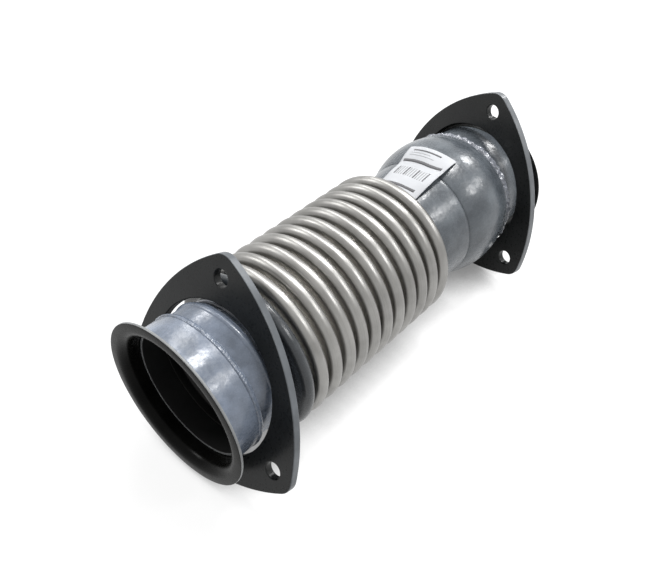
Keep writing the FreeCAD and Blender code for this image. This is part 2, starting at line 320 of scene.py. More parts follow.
@dataclass(frozen=True)
class PaintFinish:
    """Sprayed paint with soft clouds, dust specks and a slightly uneven face.

    Attributes:
        name: The material's name.
        colour: Main colour.
        cloud: Colour of the paler clouds.
        speck: Colour of dust and small scuffs.
        shine: Lowest and highest roughness.
        gloss: Strength of the mirror-like part.
        ripple: Depth of the soft unevenness, in millimetres.
    """

    name: str
    colour: Colour
    # speck: Colour of dust and small scuffs; on the weld bead partly painted glints.
    cloud: Colour
    speck: Colour
    shine: tuple[float, float] = (0.28, 0.42)
    gloss: float = 0.5
    ripple: float = 0.25

    @functools.cache
    def material(self) -> bpy.types.Material:
        """Makes the material, once.

        Returns:
            The material.
        """
        graph = Graph(bpy.data.materials.new(self.name))
        where = graph.place()
        cloud = graph.clouds(where, scale=52.0, detail=3.0, rough=0.55)
        fine = graph.clouds(where, scale=420.0, detail=4.0, rough=0.6)
        dust = graph.clouds(where, scale=1500.0, detail=2.0, rough=0.5)
        clean = graph.blended(graph.spread(cloud, 0.35, 0.7), self.colour, self.cloud)
        shader = graph.add(
            "BsdfPrincipled",
            Base_Color=graph.blended(graph.spread(dust, 0.76, 0.82, at_high=0.4), clean, self.speck),
            Metallic=0.0,
            Roughness=graph.spread(fine, 0.3, 0.7, *self.shine),
            Specular_IOR_Level=self.gloss,
            Normal=graph.bump(fine, 0.01 * self.ripple, graph.bump(cloud, self.ripple)),
        )
        graph.show(shader)
        return graph.owner


@dataclass(frozen=True)
class SteelFinish:
    """Bare sheet steel with fine marks that run round the pipe.

    Attributes:
        name: The material's name.
        colour: Colour of the steel.
        stain: Colour of the darker patches.
        hollow: Colour deep between the crests, paler than the steel: a painted reflection of the light that
            bounces into the hollows.
        shine: Lowest and highest roughness.
        mark_depth: Depth of the marks, in millimetres.
        grain_depth: Depth of the grain, in millimetres.
    """

    name: str
    colour: Colour
    stain: Colour
    hollow: Colour
    shine: tuple[float, float]
    mark_depth: float = 0.01
    grain_depth: float = 0.006

    @functools.cache
    def material(self) -> bpy.types.Material:
        """Makes the material, once.

        Returns:
            The material.
        """
        graph = Graph(bpy.data.materials.new(self.name))
        where = graph.place()
        drawn_out = graph.add("Mapping", Vector=graph.unrolled("turning"), Scale=(14.0, 1300.0, 1.0))
        marks = graph.clouds(drawn_out.outputs["Vector"], scale=1.0, detail=3.0, rough=0.6)
        patches = graph.clouds(where, scale=45.0, detail=4.0, rough=0.6)
        grain = graph.clouds(where, scale=2200.0, detail=2.0, rough=0.5)
        # Deep between the crests the colour turns to hollow: a painted reflection that lightens the hollows.
        depth = graph.add("SeparateXYZ", Vector=graph.unrolled("depth")).outputs["X"]
        patched = graph.blended(graph.spread(patches, 0.35, 0.75, at_high=0.8), self.colour, self.stain)
        marked = graph.blended(graph.spread(marks, 0.4, 0.75, at_high=0.35), patched, self.stain)
        shader = graph.add(
            "BsdfPrincipled",
            Base_Color=graph.blended(graph.spread(depth, 0.25, 0.7), marked, self.hollow),
            Metallic=1.0,
            Roughness=graph.spread(marks, 0.25, 0.75, *self.shine),
            Normal=graph.bump(grain, self.grain_depth, graph.bump(marks, self.mark_depth)),
        )
        graph.show(shader)
        return graph.owner


@dataclass(frozen=True)
class PaperFinish:
    """Label paper or its print, with a faint tooth.

    Attributes:
        name: The material's name.
        colour: Main colour.
        handled: Share of the colour that is left where hands have greyed it.
        tooth: Depth of the paper's tooth, in millimetres.
    """

    name: str
    colour: Colour
    handled: float = 0.9
    tooth: float = 0.03

    @functools.cache
    def material(self) -> bpy.types.Material:
        """Makes the material, once.

        Returns:
            The material.
        """
        graph = Graph(bpy.data.materials.new(self.name))
        where = graph.place()
        tooth = graph.clouds(where, scale=900.0, detail=3.0, rough=0.6)
        touched = graph.clouds(where, scale=60.0, detail=2.0, rough=0.5)
        darker = tuple(part * self.handled for part in self.colour)
        shader = graph.add(
            "BsdfPrincipled",
            Base_Color=graph.blended(graph.spread(touched, 0.4, 0.7), self.colour, darker),
            Roughness=0.6,
            Specular_IOR_Level=0.35,
            Normal=graph.bump(tooth, self.tooth),
        )
        graph.show(shader)
        return graph.owner


class Coat(Enum):
    """Every finish of the pipe."""

    PIPE = PaintFinish(
        "pipe_paint", colour=(0.095, 0.114, 0.146), cloud=(0.2, 0.235, 0.3), speck=(0.32, 0.34, 0.38),
        shine=(0.2, 0.34), gloss=0.6, ripple=0.8)
    # Painted shade: the near end's paint made darker for the far end, where less light falls on it.
    ADAPTER = PaintFinish(
        "pipe_paint_far_painted_shade", colour=(0.058, 0.067, 0.077), cloud=(0.115, 0.13, 0.145), speck=(0.24, 0.26, 0.28),
        shine=(0.2, 0.34), gloss=0.55, ripple=0.8)
    # Painted shade: inside faces of the tubes, cuff and dome and the wide holes' walls are near-black where
    # they lie in shade.
    INSIDE = PaintFinish(
        "pipe_paint_inside", colour=(0.006, 0.006, 0.006), cloud=(0.012, 0.012, 0.012),
        speck=(0.015, 0.015, 0.015), shine=(0.45, 0.6), gloss=0.15, ripple=0.1)
    # Painted shade: the lips' faces and the collars' bores are near-black, as they face away from the lamps.
    LIP = PaintFinish(
        "pipe_paint_lip", colour=(0.0035, 0.0035, 0.0032), cloud=(0.008, 0.008, 0.0075),
        speck=(0.012, 0.012, 0.012), shine=(0.2, 0.32), gloss=0.05, ripple=0.15)
    # Painted light: the lip's rim and the near tube's cut edge are paler than the pipe paint, where they
    # catch the lamps.
    EDGE = PaintFinish(
        "pipe_paint_edge", colour=(0.16, 0.165, 0.17), cloud=(0.24, 0.25, 0.25), speck=(0.4, 0.4, 0.4),
        shine=(0.35, 0.5))
    # Painted shade: the flanges' faces and bolt holes' walls are near-black; with the rims they are shaded
    # and lit copies of one paint.
    PLATE = PaintFinish(
        "flange_paint", colour=(0.012, 0.013, 0.013), cloud=(0.019, 0.02, 0.02), speck=(0.035, 0.035, 0.035),
        shine=(0.24, 0.36), gloss=0.24, ripple=0.1)
    # Painted light: the near flange's rim is paler than its faces, where it catches the lamps.
    PLATE_EDGE = PaintFinish(
        "flange_paint_edge", colour=(0.07, 0.078, 0.086), cloud=(0.13, 0.142, 0.154), speck=(0.2, 0.2, 0.21),
        shine=(0.28, 0.42), gloss=0.4, ripple=0.1)
    # The far flange's rim: paler than its faces, partly painted light where it catches the lamps, partly pale
    # scuffs.
    SCUFFED_LIT_EDGE = PaintFinish(
        "flange_paint_scuffed_and_lit", colour=(0.085, 0.092, 0.1), cloud=(0.15, 0.16, 0.17), speck=(0.4, 0.42, 0.44),
        shine=(0.25, 0.4), gloss=0.5, ripple=0.15)
    OVERSPRAY = PaintFinish(
        "bellows_overspray", colour=(0.026, 0.03, 0.034), cloud=(0.05, 0.055, 0.06), speck=(0.15, 0.15, 0.16),
        shine=(0.2, 0.32), gloss=0.45, ripple=0.15)
    # Partly painted sheen: the bead is paler than the pipe paint it shares, and its bright specks are partly
    # painted glints, partly spatter.
    BEAD = PaintFinish(
        "weld_bead", colour=(0.16, 0.17, 0.195), cloud=(0.24, 0.255, 0.29), speck=(0.5, 0.52, 0.55),
        shine=(0.14, 0.26), gloss=0.75, ripple=0.3)
    # Its hollow colour is a painted reflection: much paler steel deep between the crests.
    STEEL = SteelFinish(
        "bellows_steel", colour=(0.32, 0.315, 0.303), stain=(0.19, 0.186, 0.178), hollow=(0.7, 0.685, 0.66),
        shine=(0.33, 0.46))
    SKIRT = SteelFinish(
        "bellows_skirt", colour=(0.3, 0.295, 0.285), stain=(0.2, 0.195, 0.185), hollow=(0.3, 0.295, 0.285),
        shine=(0.3, 0.44))
    # Painted shade: the stainless liner is made near-black, as it lies in shade inside the pipe.
    LINER = SteelFinish(
        "liner_steel", colour=(0.02, 0.0195, 0.019), stain=(0.01, 0.01, 0.01), hollow=(0.02, 0.02, 0.02),
        shine=(0.45, 0.6))
    PAPER = PaperFinish("label_paper", colour=(0.48, 0.49, 0.51))
    PRINT = PaperFinish("label_print", colour=(0.1, 0.1, 0.105))
    PALE_PRINT = PaperFinish("label_print_pale", colour=(0.24, 0.245, 0.25))


@dataclass
class Corner:
    """A corner of a turned outline.

    Attributes:
        along: Station along the pipe.
        out: Distance from the pipe's axis.
        coat: Number of the finish on the stretch that starts here.
        ease: Radius that rounds the corner off.
    """

    along: float
    out: float
    coat: int = OUTER
    ease: float = 0.0

    def spot(self) -> Vector:
        """The corner as a flat point."""
        return Vector((self.along, self.out))


def bow(start: Corner, end: Corner, radius: float, side: int, steps: int) -> list[Corner]:
    """Divides the arc from start to end into corners, without the end itself.

    Args:
        start: Where the arc starts. Its finish covers the whole arc.
        end: Where the arc ends.
        radius: Radius of the arc.
        side: 1 where the centre lies left of the way, -1 where it lies right.
        steps: How many stretches the arc has.

    Returns:
        The corners from the start on.
    """
    chord = end.spot() - start.spot()
    rise = math.sqrt(max(radius ** 2 - (chord.length / 2) ** 2, 0.0))
    left = Vector((-chord.y, chord.x)).normalized()
    centre = (start.spot() + end.spot()) / 2 + left * rise * side
    arm = start.spot() - centre
    sweep = 2 * math.asin(min(chord.length / 2 / radius, 1.0)) * side
    found = []
    for step in range(steps):
        spot = centre + Matrix.Rotation(sweep * step / steps, 2) @ arm
        found.append(Corner(spot.x, spot.y, start.coat))
    return found


def eased(corners: Sequence[Corner], steps: int = 4, longest: float = 0.45) -> list[Corner]:
    """Rounds off every corner that has an ease.

    Args:
        corners: A closed outline.
        steps: Stretches of each rounding.
        longest: Most that a rounding takes of the stretches beside it.

    Returns:
        The rounded outline.
    """
    found = []
    for number, corner in enumerate(corners):
        if corner.ease == 0.0:
            found.append(corner)
            continue
        last = corners[number - 1]
        following = corners[(number + 1) % len(corners)]
        before = last.spot() - corner.spot()
        after = following.spot() - corner.spot()
        half = before.angle(after) / 2
        reach = min(corner.ease / math.tan(half), before.length * longest, after.length * longest)
        inward = (before.normalized() + after.normalized()).normalized()
        centre = corner.spot() + inward * (reach / math.cos(half))
        first_arm = corner.spot() + before.normalized() * reach - centre
        last_arm = corner.spot() + after.normalized() * reach - centre
        sweep = first_arm.angle_signed(last_arm)
        for step in range(steps + 1):
            spot = centre + Matrix.Rotation(-sweep * step / steps, 2) @ first_arm
            found.append(Corner(spot.x, spot.y, last.coat if step < steps / 2 else corner.coat))
    return found


@dataclass
class Lathe:
    """Turns outlines about the pipe's axis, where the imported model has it.

    Attributes:
        near_x: Place of the near mouth's face, in metres.
        side: Sideways place of the axis, in metres.
        height: Height of the axis over the floor, in metres.
    """

    near_x: float = field(init=False)
    side: float = field(init=False)
    height: float = field(init=False)

    def __post_init__(self) -> None:
        """Reads the axis from the near collar."""
        low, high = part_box("near_collar")
        self.near_x = low.x
        self.side = (low.y + high.y) / 2
        self.height = (low.z + high.z) / 2

    def point(self, along: float, out: float, turn: float) -> Vector:
        """Gives a point near the pipe.

        Args:
            along: Station in millimetres.
            out: Distance from the axis in millimetres.
            turn: Angle from straight up towards the camera's side, in radians.

        Returns:
            The point in metres.
        """
        reach = out * MM
        across = self.side - reach * math.sin(turn)
        return Vector((self.near_x + along * MM, across, self.height + reach * math.cos(turn)))

    def turned(self, name: str, corners: Sequence[Corner], coats: Sequence[Coat], around: int = 160,
               ripple: Optional[Ripple] = None) -> bpy.types.Object:
        """Makes a closed ring from its half outline.

        Two layers go with it. Turning holds the way round and along the outline, in metres, and
        depth holds 0 at the outermost corner and 1 at the innermost.

        Args:
            name: The piece's name.
            corners: Closed outline.
            coats: Finishes that the corners' coats number.
            around: Steps around the axis.
            ripple: Gives the shift along and out, in millimetres, from station, distance and angle.

        Returns:
            The piece.
        """
        shape = bmesh.new()
        turning = shape.loops.layers.uv.new("turning")
        depth = shape.loops.layers.uv.new("depth")
        outs = [corner.out for corner in corners]
        girth = FULL_TURN * sum(outs) / len(outs) * MM
        run = [0.0]
        for number, corner in enumerate(corners):
            following = corners[(number + 1) % len(corners)]
            run.append(run[-1] + (following.spot() - corner.spot()).length * MM)
        rings = []
        for turn_number in range(around):
            turn = math.pi + FULL_TURN * turn_number / around
            ring = []
            for corner in corners:
                slip, swell = ripple(corner.along, corner.out, turn) if ripple else (0.0, 0.0)
                ring.append(shape.verts.new(self.point(corner.along + slip, corner.out + swell, turn)))
            rings.append(ring)
        for turn_number, here in enumerate(rings):
            there = rings[(turn_number + 1) % around]
            for number, corner in enumerate(corners):
                following = (number + 1) % len(corners)
                face = shape.faces.new((here[number], there[number], there[following], here[following]))
                face.smooth = True
                face.material_index = corner.coat
                for loop, (u, v) in zip(face.loops, ((0, 0), (1, 0), (1, 1), (0, 1))):
                    loop[turning].uv = ((turn_number + u) / around * girth, run[number + v])
                    out = outs[following if v else number]
                    loop[depth].uv = ((max(outs) - out) / (max(outs) - min(outs)), 0.0)
        bmesh.ops.recalc_face_normals(shape, faces=shape.faces)
        return formed(name, shape, [coat.value.material() for coat in coats])


def settle(piece: bpy.types.Object, body: Body, slot: Slot, *nodes: str) -> None:
    """Rides a piece on its body and lets it stand for its nodes.

    Args:
        piece: The piece.
        body: The body it rides on.
        slot: The record's slot for its finish; not used.
        nodes: Nodes that it stands for.
    """
    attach(piece, body.value)
    if nodes:
        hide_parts(*nodes)
    log.info("%s rides on %s", piece.name, body.value)


@dataclass
class FlaredCollar:
    """Tube end that turns out into a flat sealing lip.

    Attributes:
        name: Node that it stands for.
        body: Body that it rides on.
        mouth: Station of the lip's face.
        facing: 1 where the tube runs to the far end from its mouth, -1 where it runs back.
        outside: Outer radius of the tube.
        length: Length from the lip's face to the tube's end.
        sheet: Thickness of the steel.
        lip: Outer radius of the lip.
        bend: Inner radius of the bend into the lip.
        bend_steps: Stretches of that bend.
        around: Steps around the axis.
        dark: Whether the whole lip is near-black as painted shade, where it lies behind the loose plate; its
            back takes the plate's finish.
        sway: Height of the slow waves of the pressed tube.
        lip_sway: The same at the lip's edge, where they only go in.
    """

    name: str
    body: Body
    mouth: float
    facing: int
    outside: float
    length: float
    sheet: float = 2.0
    lip: float = 62.8
    bend: float = 5.0
    bend_steps: int = 10
    around: int = 192
    dark: bool = False
    sway: float = 0.2
    lip_sway: float = 0.25

    def corner(self, depth: float, out: float, coat: int, ease: float = 0.0) -> Corner:
        """A corner at a depth behind the lip's face."""
        return Corner(self.mouth + self.facing * depth, out, coat, ease)

    def outline(self) -> list[Corner]:
        """Draws the collar's half section, from the bore round to the tube.

        Returns:
            Its corners. The lip's rim, face and back have finishes 2 to 4.
        """
        rim, face, back = 2, 3, 4
        bore = self.outside - self.sheet
        inner = self.bend + self.sheet
        bore_end = self.corner(inner, bore, INNER)
        face_start = self.corner(0.0, bore + inner, INNER)
        back_end = self.corner(self.sheet, self.outside + self.bend, back)
        tube_start = self.corner(inner, self.outside, OUTER)
        return eased([
            self.corner(self.length, bore, INNER, 0.4),
            *bow(bore_end, face_start, inner, -self.facing, self.bend_steps),
            self.corner(0.0, bore + inner, face),
            self.corner(0.0, self.lip, rim, 0.7),
            self.corner(self.sheet, self.lip, back, 0.5),
            *bow(back_end, tube_start, self.bend, self.facing, self.bend_steps),
            tube_start,
            self.corner(self.length, self.outside, OUTER, 0.5),
        ])

    def ripple(self, along: float, out: float, turn: float) -> tuple[float, float]:
        """Slow waves of the pressed sheet, which is a little out of round.

        Args:
            along: Station.
            out: Distance from the axis.
            turn: Angle round the pipe.

        Returns:
            The shift along and out.
        """
        wave = drift(math.sin(turn) * 1.6, math.cos(turn) * 1.6, along * 0.05)
        at_rim = out > self.lip - self.sheet
        return 0.0, min(wave * self.lip_sway, 0.0) if at_rim else wave * self.sway

    def build(self, lathe: Lathe) -> None:
        """Makes the collar.

        Args:
            lathe: Turns its outlines.
        """
        # Painted shade and light: the lip's face and bore near-black, its rim paler; with dark, the whole
        # lip, its tube and back are darker, painted shade behind the plate.
        painted = (Coat.PIPE, Coat.LIP, Coat.EDGE, Coat.LIP, Coat.PIPE)
        shaded_coats = (Coat.ADAPTER, Coat.LIP, Coat.LIP, Coat.LIP, Coat.PLATE)
        coats = shaded_coats if self.dark else painted
        piece = lathe.turned(self.name + "_shell", self.outline(), coats, self.around, self.ripple)
        settle(piece, self.body, Slot.PIPE, self.name)


@dataclass
class WeldBead:
    """Fillet bead with the ripples and lumps of hand welding.

    Attributes:
        name: Node that it stands for.
        body: Body that it rides on.
        station: Where its leg starts.
        facing: 1 where the leg runs to the far end.
        foot: Radius of the tube that it lies on.
        height: Height of its other leg.
        leg: Length of the leg.
        pitch: Spacing of the ripples round the bead.
        lump: Height of the lumps.
        seed: Number that makes its lumps its own.
        lap: How far it laps back over the sheet that it welds on.
        blobs: How many blobs of spilt weld lie on each millimetre.
        crumbs: Height of the small lumps on the blobs, as a share of the lumps' height.
        painted: Whether the pipe's own paint covers it.
        sunk: How far its foot sits in the tube.
        belly: Radius of its bulge, as a share of the leg.
        belly_steps: Stretches of that bulge.
        crescents: Height of the crescents, as a share of the lumps' height.
        waves: The same for the slow waves.
        knobs: The same for the blobs.
        around: Steps around the axis.
    """

    name: str
    body: Body
    station: float
    facing: int
    foot: float
    height: float
    leg: float
    pitch: float
    lump: float
    seed: float
    lap: float = 0.3
    blobs: float = 0.3
    crumbs: float = 0.0
    painted: bool = False
    sunk: float = 0.05
    belly: float = 0.82
    belly_steps: int = 12
    crescents: float = 0.45
    waves: float = 0.6
    knobs: float = 0.7
    around: int = 640

    def outline(self) -> list[Corner]:
        """Draws the bead's half section.

        Returns:
            Its corners.
        """
        start = Corner(self.station, self.foot + self.height)
        end = Corner(self.station + self.facing * self.leg, self.foot)
        root = Corner(self.station, self.foot)
        back = Corner(self.station - self.facing * self.lap, self.foot + self.height * 0.6)
        bulge = bow(start, end, self.leg * self.belly, -self.facing, self.belly_steps)
        return [root, back, *bulge, end]

    def ripple(self, along: float, out: float, turn: float) -> tuple[float, float]:
        """Crescents left by each drop of weld, with slower lumps, blobs and crumbs.

        Args:
            along: Station.
            out: Distance from the axis.
            turn: Angle round the pipe.

        Returns:
            The shift along and out.
        """
        if out < self.foot + self.sunk:
            return 0.0, -self.sunk
        arc = turn * self.foot
        wander = drift(arc * 0.12, self.seed) * 2.2
        lean = (along - self.station) * self.facing * 0.5
        crescent = 0.5 + 0.5 * math.cos(FULL_TURN * (arc + wander + lean) / self.pitch)
        slow = drift(arc * 0.07, along * 0.2, self.seed + 7.0)
        blobs = drift(arc * self.blobs, along * 1.6 * self.blobs, self.seed + 11.0)
        crumbs = drift(arc * 2.4 * self.blobs, along * 3.0 * self.blobs, self.seed + 17.0)
        share = min((out - self.foot) / self.height, 1.0)
        swell = crescent ** 1.5 * self.crescents + self.waves * slow + self.knobs * blobs
        swell += self.crumbs * crumbs
        slip = max(drift(arc * 0.2, self.seed + 3.0), 0.0) * 1.2 * self.facing
        return slip * self.lump * (1.0 - share), swell * self.lump * (0.4 + 0.6 * share)

    def build(self, lathe: Lathe) -> None:
        """Makes the bead.

        Args:
            lathe: Turns its outlines.
        """
        coats = (Coat.PIPE if self.painted else Coat.BEAD,)
        piece = lathe.turned(self.name + "_lumps", self.outline(), coats, self.around, self.ripple)
        settle(piece, self.body, Slot.WELD, self.name)


@dataclass
class NearTube:
    """Tube behind the near collar, with its rolled rib and the neck that carries the bellows.

    Attributes:
        start: Station of its near end, inside the collar.
        outside: Outer radius.
        sheet: Thickness of the steel.
        rib: Station of the rib's middle.
        rib_width: Width of the rib.
        rib_height: How far the rib stands out.
        rib_steps: Stretches of the rib.
        neck_start: Station where the tube necks down.
        neck: Station where the neck starts.
        neck_out: Outer radius of the neck.
        end: Station of its far end.
    """

    start: float = 14.0
    outside: float = 49.7
    sheet: float = 2.0
    rib: float = 44.5
    rib_width: float = 5.0
    rib_height: float = 1.3
    rib_steps: int = 10
    neck_start: float = 47.7
    neck: float = 51.9
    neck_out: float = 45.8
    end: float = 58.3

    def outline(self) -> list[Corner]:
        """Draws the tube's half section.

        Returns:
            Its corners. The cut edge has finish 2.
        """
        cut = 2
        before = Corner(self.rib - self.rib_width / 2, self.outside)
        after = Corner(self.rib + self.rib_width / 2, self.outside)
        radius = (self.rib_width ** 2 / 4 + self.rib_height ** 2) / (2 * self.rib_height)
        bore = self.outside - self.sheet
        neck_bore = self.neck_out - self.sheet
        return eased([
            Corner(self.start, bore, cut, 0.5),
            Corner(self.start, self.outside, OUTER, 0.5),
            *bow(before, after, radius, -1, self.rib_steps),
            after,
            Corner(self.neck_start, self.outside, OUTER, 0.4),
            Corner(self.neck, self.neck_out, OUTER, 1.5),
            Corner(self.end, self.neck_out, INNER, 0.3),
            Corner(self.end, neck_bore, INNER, 0.3),
            Corner(self.neck, neck_bore, INNER, 1.5),
            Corner(self.neck_start, bore, INNER, 2.0),
        ])

    def build(self, lathe: Lathe) -> None:
        """Makes the tube."""
        piece = lathe.turned("near_tube_shell", self.outline(), (Coat.PIPE, Coat.INSIDE, Coat.EDGE))
        settle(piece, Body.NEAR, Slot.PIPE, "near_tube")


@dataclass
class Bellows:
    """Row of round-crested convolutions between two skirts.

    Attributes:
        start: Station where the first convolution starts.
        pitch: Length of one convolution.
        count: How many there are.
        crest: Outer radius at the crests.
        root: Outer radius at the roots.
        width: Width of a crest.
        ply: Thickness of the wall.
        skirt: Length of the plain skirt at each end.
        brim: Width of the skirts' eased edges.
        lean: How far a crest leans along the pipe.
        dip: How far a crest lies in from its true height.
        foot_steps: Stretches of a foot's bend.
        crest_steps: Stretches of a crest's outer face.
        inner_steps: Stretches of its inner face.
        around: Steps around the axis.
    """

    start: float = 58.3
    pitch: float = 14.0
    count: int = 12
    crest: float = 61.5
    root: float = 47.0
    width: float = 10.3
    ply: float = 1.0
    skirt: float = 3.5
    brim: float = 0.3
    lean: float = 0.7
    dip: float = 0.2
    foot_steps: int = 4
    crest_steps: int = 14
    inner_steps: int = 6
    around: int = 176

    def outside(self, first: float, coat: int) -> list[Corner]:
        """Outer face of a convolution. Its far foot is bare steel, whatever the coat.

        Args:
            first: Station where it starts.
            coat: Number of its finish.

        Returns:
            The corners from its near foot on.
        """
        bend = self.width / 2
        hollow = self.pitch / 2 - bend
        low = self.root + hollow
        high = self.crest - bend
        middle = (low + high) / 2
        near = first + hollow
        far = near + self.width
        rise = Corner(near, low, coat)
        far_shoulder = Corner(far, high, coat)
        return [
            *bow(Corner(first, self.root, coat), rise, hollow, 1, self.foot_steps),
            rise,
            Corner(near, middle, coat),
            *bow(Corner(near, high, coat), far_shoulder, bend, -1, self.crest_steps),
            far_shoulder,
            Corner(far, middle, coat),
            *bow(Corner(far, low), Corner(first + self.pitch, self.root), hollow, 1, self.foot_steps),
        ]

    def inside(self, first: float) -> list[Corner]:
        """Inner face of a convolution.

        Args:
            first: Station where it starts.

        Returns:
            The corners from its far end back.
        """
        inner = self.root - self.ply
        bend = self.width / 2 - self.ply
        middle = first + self.pitch / 2
        high = self.crest - self.ply - bend
        left = Corner(middle - bend, high, INNER)
        return [
            Corner(first + self.pitch, inner, INNER),
            Corner(middle + bend, inner, INNER),
            *bow(Corner(middle + bend, high, INNER), left, bend, 1, self.inner_steps),
            left,
            Corner(middle - bend, inner, INNER),
        ]

    def outline(self) -> list[Corner]:
        """Draws the whole half section. The near skirt and the first convolution have caught some paint.

        Returns:
            Its corners. The painted stretch has finish 2 and the far skirt 3.
        """
        sprayed, plain_skirt = 2, 3
        end = self.start + self.pitch * self.count
        inner = self.root - self.ply
        stations = [self.start + self.pitch * number for number in range(self.count)]
        corners = [
            Corner(self.start - self.skirt, inner, INNER),
            Corner(self.start - self.skirt, self.root - self.brim, sprayed),
            Corner(self.start - self.skirt + self.brim, self.root, sprayed),
            Corner(self.start - self.brim, self.root, sprayed),
        ]
        for number, station in enumerate(stations):
            corners.extend(self.outside(station, sprayed if number == 0 else OUTER))
        corners.extend((
            Corner(end, self.root, plain_skirt),
            Corner(end + self.brim, self.root, plain_skirt),
            Corner(end + self.skirt - self.brim, self.root, plain_skirt),
            Corner(end + self.skirt, self.root - self.brim, INNER),
            Corner(end + self.skirt, inner, INNER),
        ))
        for station in reversed(stations):
            corners.extend(self.inside(station))
        corners.append(Corner(self.start, inner, INNER))
        return corners

    def ripple(self, along: float, out: float, turn: float) -> tuple[float, float]:
        """Each convolution leans and stands a touch off its true place.

        Args:
            along: Station.
            out: Distance from the axis.
            turn: Angle round the pipe.

        Returns:
            The shift along and out.
        """
        number = round((along - self.start) / self.pitch - 0.5)
        share = min(max((out - self.root) / (self.crest - self.root), 0.0), 1.0)
        lean = drift(number * 3.7, math.sin(turn) * 0.5, math.cos(turn) * 0.5)
        rise = drift(number * 5.3, math.sin(turn) * 0.9, math.cos(turn) * 0.9 + 9.0)
        return lean * self.lean * share, min(rise * self.dip, 0.0) * share

    def build(self, lathe: Lathe) -> None:
        """Makes the bellows, which rides on neither end.

        Args:
            lathe: Turns its outlines.
        """
        coats = (Coat.STEEL, Coat.LINER, Coat.OVERSPRAY, Coat.SKIRT)
        piece = lathe.turned("bellows_steel_shell", self.outline(), coats, self.around, self.ripple)
        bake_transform(piece)
        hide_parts("bellows")
        log.info("%s bends between the two ends", piece.name)


@dataclass
class FlowLiner:
    """Thin inner tube, belled out to seat in the near tube.

    Attributes:
        start: Station of its near end.
        seat: Outer radius of its belled end.
        seat_length: Length of that end.
        taper: Length of the cone behind it.
        slim: Outer radius of the rest.
        sheet: Thickness of the steel.
        end: Station of its far end.
        bend: Ease of its bends.
        edge: Ease of its cut edges.
        around: Steps around the axis.
    """

    start: float = 31.5
    seat: float = 47.7
    seat_length: float = 6.0
    taper: float = 10.0
    slim: float = 39.0
    sheet: float = 1.0
    end: float = 214.3
    bend: float = 2.0
    edge: float = 0.3
    around: int = 128

    def build(self, lathe: Lathe) -> None:
        """Makes the liner.

        Args:
            lathe: Turns its outlines.
        """
        knee = self.start + self.seat_length
        foot = knee + self.taper
        corners = eased([
            Corner(self.start, self.seat - self.sheet, ease=self.edge),
            Corner(self.start, self.seat, ease=self.edge),
            Corner(knee, self.seat, ease=self.bend),
            Corner(foot, self.slim, ease=self.bend),
            Corner(self.end, self.slim, ease=self.edge),
            Corner(self.end, self.slim - self.sheet, ease=self.edge),
            Corner(foot, self.slim - self.sheet, ease=self.bend),
            Corner(knee, self.seat - self.sheet, ease=self.bend),
        ])
        piece = lathe.turned("flow_liner_shell", corners, (Coat.LINER,), self.around)
        settle(piece, Body.NEAR, Slot.LINER, "flow_liner")


